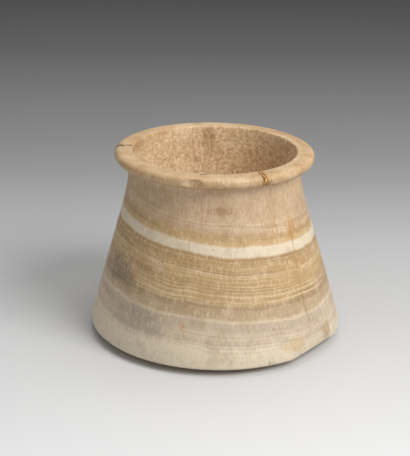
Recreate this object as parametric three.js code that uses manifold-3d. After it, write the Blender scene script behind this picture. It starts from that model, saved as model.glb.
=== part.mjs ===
// A squat calcite (Egyptian alabaster) vase with a flat everted lip, flaring to a wide base.
// The front of its lip broke off in one piece and was set back on its break, as on the real vase.
// Units are millimetres, +Z is up, and the origin is the centre of the face that it stands on.
import * as THREE from 'three'
import { mergeVertices } from 'three/addons/utils/BufferGeometryUtils.js'
import Module from 'manifold-3d'

// Body, from the standing face up
const height = 90
const footRadius = 40
const undersideRadius = 51
const undersideRise = 1.5
const baseRadius = 61.15
const baseEdgeHeight = 5
const shoulderRadius = 44.392
const shoulderHeight = 62
const neckRadius = 40.8
const neckCurve = 0.59311
const lean = -0.022

// Lip
const lipRadius = 47.4
const lipThickness = 6.2
const lipNose = 2.3
const lipTopFlatRadius = 44.6
const notchFillet = 1.2

// Hollow
const mouthRadius = 38.9
const mouthEdge = 1
const boreTopRadius = 37.2
const boreFloorRadius = 33.5
const floorThickness = 14
const floorFillet = 12

// Break in the lip: two cracks seen from above, as a radius and a bearing in degrees from +X
const fissureBearing = 176
const breakBearing = 302.5
const crackBend = 1.6
const jointGap = 0.3
const fissureGap = 0.7
const seatInnerRise = 5.4
const seatWave = 0.35
const seatLobes = 5

// Resin that fills the right-hand break
const resinWidth = 1.7

// Losses of stone
const scoopBearing = -101
const scoopSize = new THREE.Vector3(4.2, 6.6, 4.6)
const scoopDepth = 1.7
const flakeSize = new THREE.Vector3(2.6, 1.1, 1.3)
const baseChipBearing = -36
const baseChipDepth = 1.9
const baseChipTilt = 48

const turns = 72
const calcite = { color: 0xc9ae8a, roughness: 0.5, metalness: 0 }
const lipCalcite = { color: 0xd2b489, roughness: 0.45, metalness: 0 }
const resin = { color: 0xb98a35, roughness: 0.3, metalness: 0 }

const wasm = await Module()
wasm.setup()

const degrees = Math.PI / 180
const neckHeight = height - lipThickness
const sideTaper = (baseRadius - shoulderRadius) / (shoulderHeight - baseEdgeHeight)
const point = (radius, z) => new THREE.Vector2(radius, z)

// A closed three.js geometry as a solid that can be cut and joined.
function solidOf(geometry) {
  const bare = geometry.clone()
  bare.deleteAttribute('normal')
  bare.deleteAttribute('uv')
  const merged = mergeVertices(bare, 1e-4)
  const vertProperties = new Float32Array(merged.attributes.position.array)
  const triVerts = new Uint32Array(merged.index.array)
  return new wasm.Manifold(new wasm.Mesh({ numProp: 3, vertProperties, triVerts }))
}

// A named mesh from a solid, sheared by the vase's slight lean about the height of its base edge.
function meshOf(name, solid, finish) {
  const data = solid.getMesh()
  const geometry = new THREE.BufferGeometry()
  geometry.setAttribute('position', new THREE.BufferAttribute(new Float32Array(data.vertProperties), 3))
  geometry.setIndex(new THREE.BufferAttribute(new Uint32Array(data.triVerts), 1))
  geometry.applyMatrix4(new THREE.Matrix4().makeShear(0, 0, 0, 0, lean, 0))
  geometry.translate(-lean * baseEdgeHeight, 0, 0)
  geometry.computeVertexNormals()
  const mesh = new THREE.Mesh(geometry, new THREE.MeshStandardMaterial(finish))
  mesh.name = name
  return mesh
}

// A solid of revolution about the vase's axis, from a profile of radius and height.
function revolve(profile) {
  const geometry = new THREE.LatheGeometry(profile, turns)
  geometry.rotateX(Math.PI / 2)
  return geometry
}

// Points of a quarter of an ellipse, from angle start to end in degrees, without the first point.
function ellipseArc(centre, radial, vertical, start, end, steps) {
  const points = []
  for (let step = 1; step <= steps; step += 1) {
    const angle = (start + ((end - start) * step) / steps) * degrees
    points.push(point(centre.x + radial * Math.cos(angle), centre.y + vertical * Math.sin(angle)))
  }
  return points
}

// The outside, from the middle of the foot to the flat top of the lip.
function outerProfile() {
  const sideRadius = (z) => baseRadius - sideTaper * (z - baseEdgeHeight)
  const edgeCentre = point(undersideRadius, baseEdgeHeight)
  const shoulder = point(sideRadius(shoulderHeight), shoulderHeight)
  const notch = point(neckRadius, neckHeight - notchFillet)
  const neckStart = shoulderHeight + (notch.y - shoulderHeight) * neckCurve
  const shoulderCurve = new THREE.QuadraticBezierCurve(shoulder, point(neckRadius, neckStart), notch)
  const filletCentre = point(neckRadius + notchFillet, neckHeight - notchFillet)
  const noseHeight = height - lipNose
  const lipCentre = point(neckRadius + notchFillet, noseHeight)
  return [
    point(0, 0),
    point(footRadius, 0),
    point(undersideRadius, undersideRise),
    ...ellipseArc(edgeCentre, baseRadius - undersideRadius, baseEdgeHeight - undersideRise, -90, 0, 7),
    point(sideRadius(baseEdgeHeight + 9), baseEdgeHeight + 9),
    point(sideRadius(shoulderHeight / 2), shoulderHeight / 2),
    ...shoulderCurve.getPoints(8),
    ...ellipseArc(filletCentre, notchFillet, notchFillet, 180, 90, 3),
    ...ellipseArc(lipCentre, lipRadius - lipCentre.x, noseHeight - neckHeight, -90, 0, 6),
    ...ellipseArc(point(lipTopFlatRadius, noseHeight), lipRadius - lipTopFlatRadius, lipNose, 0, 90, 4),
  ]
}

// The hollow, from the mouth's edge down the tapering bore to the middle of its floor.
function innerProfile() {
  const mouthCentre = point(mouthRadius + mouthEdge, height - mouthEdge)
  const filletCentre = point(boreFloorRadius - floorFillet, floorThickness + floorFillet)
  return [
    point(mouthRadius + mouthEdge, height),
    ...ellipseArc(mouthCentre, mouthEdge, mouthEdge, 90, 180, 3),
    point(boreTopRadius, neckHeight),
    point(boreFloorRadius, floorThickness + floorFillet),
    ...ellipseArc(filletCentre, floorFillet, floorFillet, 0, -90, 6),
    point(0, floorThickness),
  ]
}

// A crack through the lip as seen from above, shifted sideways by a distance along the lip.
function crackLine(bearing, shift, bend) {
  const radii = [boreFloorRadius, mouthRadius, (mouthRadius + lipRadius) / 2, lipRadius * 1.15]
  const bends = [-bend, -bend / 2, bend, bend * 1.5]
  return radii.map((radius, index) => {
    const angle = (bearing + bends[index]) * degrees + shift / radius
    return point(radius * Math.cos(angle), radius * Math.sin(angle))
  })
}

// The space between two cracks, as a solid that stands through the lip.
function sector(first, last) {
  const outline = new THREE.Shape()
  const innerStart = first[0].angle()
  const innerEnd = last[0].angle()
  const outerStart = first[3].angle()
  const outerEnd = last[3].angle()
  outline.moveTo(first[0].x, first[0].y)
  first.slice(1).forEach((corner) => outline.lineTo(corner.x, corner.y))
  outline.absarc(0, 0, first[3].length(), outerStart, outerEnd, false)
  last.slice(0, 3).reverse().forEach((corner) => outline.lineTo(corner.x, corner.y))
  outline.absarc(0, 0, first[0].length(), innerEnd, innerStart, true)
  const geometry = new THREE.ExtrudeGeometry(outline, {
    depth: lipThickness * 2, bevelEnabled: false, curveSegments: 24,
  })
  geometry.translate(0, 0, neckHeight - lipThickness / 2)
  return solidOf(geometry)
}

// All that lies above the break: its bed rises from the notch under the lip to the mouth, in waves.
function aboveBed(clearance) {
  const inside = boreFloorRadius
  const outside = lipRadius * 1.2
  const top = height + lipThickness
  const bedRise = seatInnerRise * ((neckRadius - inside) / (neckRadius - mouthRadius)) * 0.5
  const bed = revolve([
    point(inside, neckHeight + clearance + bedRise),
    point(neckRadius, neckHeight + clearance - notchFillet / 4),
    point(outside, neckHeight + clearance - notchFillet),
    point(outside, top),
    point(inside, top),
    point(inside, neckHeight + clearance + bedRise),
  ])
  const places = bed.attributes.position
  for (let index = 0; index < places.count; index += 1) {
    if (places.getZ(index) < height + lipThickness / 2) {
      const bearing = Math.atan2(places.getY(index), places.getX(index))
      places.setZ(index, places.getZ(index) + seatWave * Math.sin(seatLobes * bearing))
    }
  }
  return solidOf(bed)
}

// A rounded hollow where stone has been lost, centred at a radius, bearing and height.
function pit(size, radius, bearing, z) {
  const geometry = new THREE.SphereGeometry(1, 20, 12)
  geometry.scale(size.x, size.y, size.z)
  geometry.translate(radius, 0, z)
  geometry.rotateZ(bearing * degrees)
  return solidOf(geometry)
}

// The flat chip knocked off the base edge, as a block whose face cuts across the edge.
function baseChip() {
  const reach = baseRadius
  const geometry = new THREE.BoxGeometry(reach, reach * 2, reach)
  geometry.translate(reach / 2, 0, 0)
  geometry.rotateY(baseChipTilt * degrees)
  geometry.translate(baseRadius - baseChipDepth, 0, baseEdgeHeight)
  geometry.rotateZ(baseChipBearing * degrees)
  return solidOf(geometry)
}

const carved = solidOf(revolve([...outerProfile(), ...innerProfile()]))

// Losses shared by the pieces
const scoop = pit(scoopSize, lipRadius + scoopSize.x - scoopDepth, scoopBearing, height - lipThickness / 2)
const flake = pit(flakeSize, mouthRadius + flakeSize.x, fissureBearing, height)
const worn = carved.subtract(scoop).subtract(flake)

// Body: everything below the bed of the break, and the lip outside the two cracks
const lostLip = sector(crackLine(fissureBearing, 0, crackBend), crackLine(breakBearing, 0, -crackBend))
const body = worn.subtract(lostLip.intersect(aboveBed(0))).subtract(baseChip())

// Lip sherd: the broken part of the lip, set back on the bed with a thin line of joint all round
const sherdEnd = jointGap + resinWidth + jointGap
const sherdSector = sector(
  crackLine(fissureBearing, fissureGap, crackBend),
  crackLine(breakBearing, -sherdEnd, -crackBend),
)
const sherd = worn.intersect(sherdSector.intersect(aboveBed(jointGap)))

// Resin fill: the wedge that closes the right-hand break between the sherd and the body
const fillSector = sector(
  crackLine(breakBearing, -jointGap - resinWidth, -crackBend),
  crackLine(breakBearing, -jointGap, -crackBend),
)
const fill = worn.intersect(fillSector.intersect(aboveBed(jointGap)))

const vase = new THREE.Group()
vase.add(meshOf('vase_body', body, calcite))
vase.add(meshOf('lip_sherd', sherd, lipCalcite))
vase.add(meshOf('resin_fill', fill, resin))

export default vase
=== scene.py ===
# %% [markdown]
# This lesson dresses a squat calcite vase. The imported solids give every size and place, so nothing is
# fitted here. The stone gets its finish from one procedural material: tilted layers laid down in the
# block before it was carved, then stains, veins and wear on top.

# %% Load the frame
import math
import bpy
from mathutils import Matrix, Vector


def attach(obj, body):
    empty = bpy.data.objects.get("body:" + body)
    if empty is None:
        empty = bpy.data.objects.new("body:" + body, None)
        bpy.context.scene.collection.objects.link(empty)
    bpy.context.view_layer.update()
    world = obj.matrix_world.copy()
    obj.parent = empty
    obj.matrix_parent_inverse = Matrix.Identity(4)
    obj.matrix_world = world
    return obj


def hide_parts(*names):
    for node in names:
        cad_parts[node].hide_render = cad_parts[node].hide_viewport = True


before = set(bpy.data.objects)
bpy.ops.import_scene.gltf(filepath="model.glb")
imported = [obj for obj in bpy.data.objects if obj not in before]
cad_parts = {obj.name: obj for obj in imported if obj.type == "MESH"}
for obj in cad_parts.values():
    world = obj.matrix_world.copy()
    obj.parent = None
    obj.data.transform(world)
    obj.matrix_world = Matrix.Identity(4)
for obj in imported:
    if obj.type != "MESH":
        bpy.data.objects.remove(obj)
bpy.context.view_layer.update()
print("solids:", sorted(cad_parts))

# %% [markdown]
# The camera stands where the photograph's did. Its place and turn come from fitting the vase's outline:
# two angles aim it, and a small roll accounts for the slope of the lip and the base in the picture.

# %% Camera, with distances in metres and angles in radians
PHOTO_HEIGHT = 456
FOCAL_PIXELS = 1271.6
SENSOR_WIDTH = 36
CAMERA_DISTANCE = 0.5771
CAMERA_HEIGHT = 0.2649
PITCH = 0.357
YAW = -0.010
ROLL = 0.017

ahead = Vector((math.sin(YAW) * math.cos(PITCH), math.cos(YAW) * math.cos(PITCH), -math.sin(PITCH)))
level = Vector((math.cos(YAW), -math.sin(YAW), 0))
above = level.cross(ahead)
right = math.cos(ROLL) * level + math.sin(ROLL) * above
upward = -math.sin(ROLL) * level + math.cos(ROLL) * above
camera_data = bpy.data.cameras.new("camera")
camera_data.sensor_width = SENSOR_WIDTH
camera_data.lens = FOCAL_PIXELS * SENSOR_WIDTH / PHOTO_HEIGHT
camera = bpy.data.objects.new("camera", camera_data)
camera.matrix_world = Matrix.LocRotScale(
    Vector((0, -CAMERA_DISTANCE, CAMERA_HEIGHT)),
    Matrix((right, upward, -ahead)).transposed(),
    None,
)
bpy.context.collection.objects.link(camera)
bpy.context.scene.camera = camera
bpy.context.scene.view_settings.view_transform = "Standard"
print("lens", round(camera_data.lens, 1), "mm")

# %% [markdown]
# Shader maths reads best as plain expressions. This small class wraps a socket, and each operator adds
# the Math node that it stands for. Colours go through a Mix node, because a Math node turns them grey.


# %% Shader expressions
def linear(shade):
    """A colour given as screen values from 0 to 255, as Blender's linear light."""
    return tuple((part / 255 / 1.055 + 0.052) ** 2.4 for part in shade)


class Value:
    """A number or colour that varies over the surface, held by a node's output socket."""

    def __init__(self, tree, socket):
        self.tree = tree
        self.socket = socket

    def node(self, kind, settings, inputs):
        """A new node of a kind, with its settings first and then its sockets' values or links."""
        made = self.tree.nodes.new(kind)
        for name, setting in settings.items():
            setattr(made, name, setting)
        for name, given in inputs.items():
            if isinstance(given, Value):
                self.tree.links.new(given.socket, made.inputs[name])
            else:
                made.inputs[name].default_value = given
        return made

    def feed(self, socket):
        self.tree.links.new(self.socket, socket)

    def math(self, operation, *others):
        inputs = dict(enumerate((self, *others)))
        made = self.node("ShaderNodeMath", {"operation": operation}, inputs)
        return Value(self.tree, made.outputs[0])

    def __add__(self, other):
        return self.math("ADD", other)

    def __sub__(self, other):
        return self.math("SUBTRACT", other)

    def __rsub__(self, other):
        return (self * -1) + other

    def __mul__(self, other):
        return self.math("MULTIPLY", other)

    def __truediv__(self, other):
        return self.math("DIVIDE", other)

    def __abs__(self):
        return self.math("ABSOLUTE")

    __radd__ = __add__
    __rmul__ = __mul__

    def step(self, start, end):
        """Goes smoothly from 0 at start to 1 at end, whichever of the two is the larger."""
        settings = {"interpolation_type": "SMOOTHSTEP", "clamp": True}
        inputs = {"Value": self, "From Min": start, "From Max": end}
        if start > end:
            inputs.update({"From Min": end, "From Max": start, "To Min": 1.0, "To Max": 0.0})
        return Value(self.tree, self.node("ShaderNodeMapRange", settings, inputs).outputs["Result"])

    def colour(self, stops):
        """A ramp of colours, from pairs of a place and a colour."""
        ramp_node = self.node("ShaderNodeValToRGB", {}, {"Fac": self})
        ramp = ramp_node.color_ramp
        ramp.elements[0].position = stops[0][0]
        ramp.elements[0].color = (*linear(stops[0][1]), 1)
        ramp.elements[1].position = stops[-1][0]
        ramp.elements[1].color = (*linear(stops[-1][1]), 1)
        for place, shade in stops[1:-1]:
            ramp.elements.new(place).color = (*linear(shade), 1)
        return Value(self.tree, ramp_node.outputs["Color"])

    def over(self, colour, amount):
        """This colour, covered by another where amount is 1."""
        mix = self.node("ShaderNodeMix", {"data_type": "RGBA"}, {0: amount, 6: self})
        if isinstance(colour, Value):
            colour.feed(mix.inputs[7])
        else:
            mix.inputs[7].default_value = (*linear(colour), 1)
        return Value(self.tree, mix.outputs[2])


print("mid grey as linear light", round(linear([128])[0], 3))

# %% [markdown]
# Every pattern is placed by a point of the stone itself, in millimetres, so it runs right through the
# block: what shows on the lip's top goes on down its edge. Masks are made from places and noise.


# %% Stone coordinates, in millimetres
class Stone:
    """Reads places on the stone in millimetres and gives masks made from them."""

    def __init__(self, tree):
        self.tree = tree
        self.maker = Value(tree, None)
        coordinates = tree.nodes.new("ShaderNodeTexCoord")
        scaled = self.maker.node("ShaderNodeVectorMath", {"operation": "SCALE"}, {"Scale": 1000.0})
        tree.links.new(coordinates.outputs["Object"], scaled.inputs[0])
        self.place = Value(tree, scaled.outputs[0])
        parts = self.maker.node("ShaderNodeSeparateXYZ", {}, {0: self.place})
        self.x, self.y, self.z = (Value(tree, parts.outputs[axis]) for axis in range(3))
        self.radius = (self.x * self.x + self.y * self.y).math("SQRT")

    def noise(self, size, detail=3.0, stretch=(1, 1, 1), roughness=0.5):
        """Noise from 0 to 1 whose features are about size millimetres across."""
        scale = tuple(part / size for part in stretch)
        mapping = self.maker.node("ShaderNodeMapping", {}, {"Vector": self.place, "Scale": scale})
        inputs = {"Vector": Value(self.tree, mapping.outputs[0]), "Scale": 1.0}
        inputs.update({"Detail": detail, "Roughness": roughness})
        return Value(self.tree, self.maker.node("ShaderNodeTexNoise", {}, inputs).outputs[0])

    def strata(self, height, spacing):
        """Noise that varies with a layer's height and hardly along it."""
        joined = self.maker.node(
            "ShaderNodeCombineXYZ", {}, {0: self.x * 0.012, 1: self.y * 0.012, 2: height / spacing}
        )
        inputs = {"Vector": Value(self.tree, joined.outputs[0]), "Scale": 1.0, "Detail": 2.0}
        return Value(self.tree, self.maker.node("ShaderNodeTexNoise", {}, inputs).outputs[0])

    def blot(self, centre, size, ragged=0.5):
        """A patch round a point, 1 at its middle and 0 past a ragged edge about size millimetres out."""
        terms = [
            ((axis - middle) / reach).math("POWER", 2.0)
            for axis, middle, reach in zip((self.x, self.y, self.z), centre, size)
        ]
        distance = (terms[0] + terms[1] + terms[2]).math("SQRT")
        edge = (self.noise(min(size) * 0.8) - 0.5) * ragged * 2
        return (distance + edge).step(1.0, 0.35)

    def bearing(self, degrees):
        """How far a point lies along a bearing from the axis, and how far to its side."""
        turn = math.radians(degrees)
        along = self.x * math.cos(turn) + self.y * math.sin(turn)
        aside = self.y * math.cos(turn) - self.x * math.sin(turn)
        return along, aside

    def seam(self, degrees, width):
        """A dark crack across the lip at a bearing in degrees."""
        along, aside = self.bearing(degrees)
        aside = aside + (self.noise(2) - 0.5) * 0.9
        return abs(aside).step(width, width * 0.5) * along.step(40.5, 42)

    def vein(self, degrees, width, low, high):
        """A thin wandering line down the side at a bearing in degrees, between two heights."""
        along, aside = self.bearing(degrees)
        aside = aside + ((self.noise(14) - 0.5) * 5 + (self.noise(3) - 0.5) * 1.2)
        line = abs(aside).step(width, width * 0.2) * along.step(20, 30)
        return line * self.z.step(low, low + 8) * self.z.step(high, high - 6)


def new_finish(name):
    """A new material, its shader and the coordinates that its patterns are placed by."""
    material = bpy.data.materials.new(name)
    material.use_nodes = True
    return material, material.node_tree.nodes["Principled BSDF"], Stone(material.node_tree)


def raise_surface(stone, shader, relief, strength, distance):
    """Bump from a relief value, with its depth in metres."""
    inputs = {"Height": relief, "Strength": strength, "Distance": distance}
    bump = stone.maker.node("ShaderNodeBump", {}, inputs)
    Value(stone.tree, bump.outputs["Normal"]).feed(shader.inputs["Normal"])


# %% [markdown]
# Calcite grows in layers. The block was tilted when the vase was carved, so the layers rise to the left,
# and more so near the top. The colours below run up the vase: worn cream at the foot, lavender greys,
# tan zones of many fine pale lines, the broad white band, and the pinkish beige of the neck.

# %% Layer colours, by height in millimetres
VASE_HEIGHT = 90
LEAST_TILT = 0.062
EXTRA_TILT = 0.045
LAYERS = [
    (0, (226, 212, 188)),
    (13, (222, 205, 178)),
    (16, (200, 181, 157)),
    (19, (208, 188, 162)),
    (21.5, (190, 171, 148)),
    (24.2, (190, 171, 146)),
    (25.3, (212, 192, 163)),
    (26.6, (184, 160, 128)),
    (32, (182, 156, 120)),
    (34, (192, 160, 114)),
    (38, (182, 149, 103)),
    (46, (190, 157, 109)),
    (53.2, (174, 140, 94)),
    (54.2, (222, 205, 178)),
    (58, (224, 208, 182)),
    (59, (204, 172, 124)),
    (62, (186, 152, 106)),
    (65, (198, 168, 134)),
    (74, (196, 166, 132)),
    (84, (202, 173, 138)),
    (90, (208, 179, 144)),
]
PALE_LINES = [(34.2, 0.45), (36.3, 0.3), (38.2, 0.3), (45.9, 0.5), (44.8, 0.25), (68.0, 0.35)]


def layer_height(stone):
    """How far up the block's own layers a point lies."""
    tilt = stone.z.step(20, 62) * EXTRA_TILT + LEAST_TILT
    waves = (stone.noise(34) - 0.5) * 4.2 + (stone.noise(9) - 0.5) * 1.1
    return stone.z + stone.x * tilt + waves


def layered(stone, height, fine, tan_zone):
    """The colour of the layers, with the fine lines in them."""
    body = (height / VASE_HEIGHT).colour([(at / VASE_HEIGHT, shade) for at, shade in LAYERS])
    broad = stone.strata(height, 2.4)
    grey_zone = height.step(24, 18) * height.step(8, 14)
    body = body.over((222, 198, 158), fine.step(0.52, 0.68) * tan_zone * 0.55)
    body = body.over((138, 108, 74), broad.step(0.5, 0.36) * tan_zone * 0.5)
    body = body.over((170, 150, 132), fine.step(0.46, 0.36) * grey_zone * 0.5)
    for at, width in PALE_LINES:
        line = abs(height - at).step(width, width * 0.3)
        strength = stone.noise(12).step(0.3, 0.6) * 0.45 + 0.15
        body = body.over((228, 206, 170), line * strength)
    return body


print(len(LAYERS), "layer colours and", len(PALE_LINES), "pale lines")

# %% [markdown]
# The stone is stained here and there. Each stain is a ragged blot with a colour, a middle, a reach along
# each axis and a strength. Two thin veins run down the side.

# %% Stains and veins
STAINS = [
    ((124, 106, 86), (-46, -24, 37), (17, 22, 9), 0.7),
    ((160, 146, 132), (-38, -44, 20), (26, 26, 8), 0.5),
    ((158, 124, 84), (1.7, -41.6, 73), (8, 6, 2.4), 0.6),
    ((198, 142, 76), (33.4, -27.6, 61), (4.2, 4.2, 8), 0.6),
    ((206, 168, 112), (37, -46.5, 10.4), (9, 8, 4), 0.5),
    ((176, 140, 94), (52.7, -27.6, 10), (6, 6, 5), 0.55),
    ((188, 142, 84), (-14.9, -54.3, 22), (1.8, 3, 3.4), 0.6),
]


def blotted(stone, body, stains):
    """The colour with each stain laid over it in turn."""
    for shade, centre, reach, strength in stains:
        body = body.over(shade, stone.blot(centre, reach) * strength)
    return body


def stained(stone, body):
    """The colour with the body's stains and veins."""
    body = blotted(stone, body, STAINS)
    body = body.over((150, 110, 66), stone.vein(-40.3, width=0.7, low=14, high=66) * 0.45)
    return body.over((156, 128, 96), stone.vein(-106, width=0.4, low=28, high=62) * 0.5)


print(len(STAINS), "stains")

# %% [markdown]
# The lip is warmer than the body, with painted shade under its edge. The wall of the hollow was left rough
# when it was cut, so there the stone shows as a coarse grain of cream and brown.

# %% Lip and hollow
LIP_SHADES = [(0.3, (176, 136, 88)), (0.5, (196, 162, 117)), (0.7, (208, 179, 140))]
WALL_SHADES = [(0.28, (158, 118, 78)), (0.48, (206, 171, 128)), (0.66, (232, 208, 172))]


def lip_and_hollow(stone, body, inside, grain):
    """The colour with the lip, the painted shade under its edge and the inner wall laid over it."""
    lip = stone.z.step(83.2, 85) * stone.radius.step(38, 40)
    body = body.over(stone.noise(11).colour(LIP_SHADES), lip * 0.85)
    # Painted shade: brown laid in a ring just under the lip's edge, where the lip shades the neck.
    painted_shade_under_lip = stone.z.step(87, 84.6) * stone.z.step(82.6, 84) * stone.radius.step(39, 41)
    body = body.over((150, 110, 66), painted_shade_under_lip * 0.5)
    body = body.over(grain.colour(WALL_SHADES), inside * 0.9)
    return body.over((140, 94, 48), stone.blot((-5, 38, 84), (5, 6, 9)) * inside * 0.6)


print(len(LIP_SHADES), "shades on the lip and", len(WALL_SHADES), "on the inner wall")

# %% [markdown]
# Last come the marks of age: speckles, pale fibres that cross the layers, cloudy patches, a chalky foot,
# a gold stain by the right-hand break and a dark streak over the scoop. The open crack gets near-black
# painted shade.

# %% Age
LIP_STAINS = [
    ((190, 144, 80), (21.2, -38, 87.5), (3.6, 6, 4), 0.6),
    ((84, 58, 36), (-6.7, -40.4, 90), (2.8, 0.9, 1), 0.8),
]


def aged(stone, body, height, wear, specks):
    """The colour with the marks of age, and the painted shade in the open crack, laid over it."""
    speckle = stone.noise(1.1, detail=3.0, roughness=0.65)
    body = body.over((162, 128, 92), speckle.step(0.56, 0.68) * height.step(60, 68) * 0.4)
    body = body.over((224, 204, 172), speckle.step(0.42, 0.32) * 0.35)
    body = body.over((226, 214, 194), wear * 0.55)
    fibres = stone.noise(0.9, detail=2.0, stretch=(1, 1, 0.14))
    body = body.over((236, 216, 184), fibres.step(0.54, 0.68) * 0.32)
    clouds = stone.noise(7, detail=4.0)
    body = body.over((150, 118, 80), clouds.step(0.5, 0.3) * 0.22)
    body = body.over((228, 208, 178), clouds.step(0.52, 0.7) * 0.28)
    body = body.over((126, 96, 62), fibres.step(0.44, 0.3) * 0.18)
    body = blotted(stone, body, LIP_STAINS)
    # Painted shade: the open crack is laid near black, for the shade inside it.
    body = body.over((24, 18, 14), stone.seam(177, width=0.95) * stone.z.step(85, 88))
    return body.over((66, 48, 32), specks * 0.8)


print(len(LIP_STAINS), "stains on the lip")

# %% [markdown]
# The stone's finish joins these steps. It is a soft wax-like polish, duller where it is worn or rough,
# and a little light passes through it.


# %% The banded stone
def calcite(name):
    """The banded stone, for any piece cut from the block."""
    material, shader, stone = new_finish(name)
    height = layer_height(stone)
    fine = stone.strata(height, 0.45)
    tan_zone = height.step(27, 33) * height.step(54, 52) + height.step(58, 61) * height.step(72, 66) * 0.6
    inside = stone.radius.step(40.2, 38.6) * stone.z.step(6, 12)
    grain = stone.noise(1.5, detail=4.0, roughness=0.7)
    wear = stone.z.step(20, 4) * stone.noise(4, detail=5.0).step(0.5, 0.62)
    specks = stone.noise(1.3, detail=1.0).step(0.76, 0.8)

    body = layered(stone, height, fine, tan_zone)
    body = stained(stone, body)
    body = lip_and_hollow(stone, body, inside, grain)
    aged(stone, body, height, wear, specks).feed(shader.inputs["Base Color"])
    (0.42 + stone.noise(6) * 0.16 + wear * 0.2 + inside * 0.22).feed(shader.inputs["Roughness"])
    relief = stone.noise(2.2, detail=5.0) * 0.5 + grain * inside * 1.6 - specks * 1.2 - wear * 0.4
    raise_surface(stone, shader, relief + fine * tan_zone * 0.25, strength=0.5, distance=0.0005)
    shader.inputs["Subsurface Weight"].default_value = 0.12
    shader.inputs["Subsurface Radius"].default_value = (1.0, 0.7, 0.4)
    shader.inputs["Subsurface Scale"].default_value = 0.003
    print(name, len(material.node_tree.nodes), "nodes")
    return material


# %% [markdown]
# The right-hand break is closed with old resin. It has aged to amber and has small dark pits.


# %% Old resin
def old_resin():
    """Aged amber filling, darker in its pits."""
    material, shader, stone = new_finish("old_resin")
    amber = stone.noise(1.6).colour([(0.35, (108, 66, 28)), (0.5, (176, 126, 62)), (0.65, (208, 168, 102))])
    pits = stone.noise(0.9, detail=1.0).step(0.62, 0.7)
    amber.over((52, 32, 14), pits).feed(shader.inputs["Base Color"])
    (0.28 + stone.noise(2) * 0.2).feed(shader.inputs["Roughness"])
    raise_surface(stone, shader, 0 - pits, strength=0.6, distance=0.0004)
    print("old_resin", len(material.node_tree.nodes), "nodes")
    return material


# %% [markdown]
# Each piece is a copy of its solid whose loose triangles are joined, so that light runs smoothly round
# the curves while the break edges, chips and cracks stay crisp.

# %% Dress the pieces
SMOOTH_ANGLE = math.radians(28)
JOIN_DISTANCE = 1e-6


def dressed(node, name, material):
    """A smooth-shaded copy of a solid that takes its place."""
    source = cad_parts[node]
    piece = source.copy()
    piece.data = source.data.copy()
    piece.name = name
    piece.parent = None
    for key in list(piece.keys()):
        del piece[key]
    bpy.context.collection.objects.link(piece)
    bpy.ops.object.select_all(action="DESELECT")
    piece.select_set(True)
    bpy.context.view_layer.objects.active = piece
    bpy.ops.object.mode_set(mode="EDIT")
    bpy.ops.mesh.select_all(action="SELECT")
    bpy.ops.mesh.remove_doubles(threshold=JOIN_DISTANCE)
    bpy.ops.object.mode_set(mode="OBJECT")
    bpy.ops.object.shade_smooth_by_angle(angle=SMOOTH_ANGLE)
    piece.data.materials.clear()
    piece.data.materials.append(material)
    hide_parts(node)
    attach(piece, "root")
    print(name, len(piece.data.vertices), "points")


dressed("vase_body", "carved_body", calcite("banded_calcite"))
dressed("lip_sherd", "broken_lip", calcite("lip_calcite"))
dressed("resin_fill", "amber_fill", old_resin())

# %% [markdown]
# The vase stands on a pale sweep of paper, painted darker away from the viewer so that the pale stone
# stands out. This darkening is painted shade for the light falling off: a ramp along the floor, not more
# light.

# %% Floor, with its size in metres and its ramp in millimetres
FLOOR_SIZE = 6
FLOOR_NEAR = -130
FLOOR_DEPTH = 1010
# Painted shade: the floor's colours darken from near to far, standing in for the light falling off.
FLOOR_PAINTED_FALLOFF = [
    (0.0, (222, 222, 222)),
    (0.14, (198, 198, 198)),
    (0.24, (187, 187, 187)),
    (0.36, (158, 158, 158)),
    (0.43, (146, 146, 146)),
    (0.75, (112, 112, 113)),
    (1.0, (98, 98, 99)),
]

bpy.ops.object.select_all(action="DESELECT")
bpy.ops.mesh.primitive_plane_add(size=FLOOR_SIZE)
floor = bpy.context.active_object
floor.name = "paper_floor"
paper, paper_shader, paper_places = new_finish("paper")
away = (paper_places.y - FLOOR_NEAR) / FLOOR_DEPTH
away.colour(FLOOR_PAINTED_FALLOFF).feed(paper_shader.inputs["Base Color"])
paper_shader.inputs["Roughness"].default_value = 0.9
paper_shader.inputs["Specular IOR Level"].default_value = 0.1
floor.data.materials.append(paper)
print("floor", FLOOR_SIZE, "m square")

# %% [markdown]
# A soft key light stands high on the right, so the shadow falls to the left. A broad lamp overhead and a
# plain white world fill in, at a level where a colour renders about as it is written.

# %% Lights
AIM = Vector((0, 0, 0.045))
WORLD_LEVEL = 0.3


def soft_light(name, place, size, power):
    """A square lamp that faces the vase."""
    lamp_data = bpy.data.lights.new(name, "AREA")
    lamp_data.size = size
    lamp_data.energy = power
    lamp = bpy.data.objects.new(name, lamp_data)
    lamp.location = place
    lamp.rotation_euler = (AIM - Vector(place)).to_track_quat("-Z", "Y").to_euler()
    bpy.context.collection.objects.link(lamp)
    print(name, power, "W")


soft_light("key", place=(0.6, -0.5, 0.76), size=0.55, power=9.0)
soft_light("overhead", place=(0.05, 0.1, 1.1), size=0.9, power=4.6)
world = bpy.data.worlds.new("studio")
bpy.context.scene.world = world
world.use_nodes = True
world.node_tree.nodes["Background"].inputs["Color"].default_value = (1, 1, 1, 1)
world.node_tree.nodes["Background"].inputs["Strength"].default_value = WORLD_LEVEL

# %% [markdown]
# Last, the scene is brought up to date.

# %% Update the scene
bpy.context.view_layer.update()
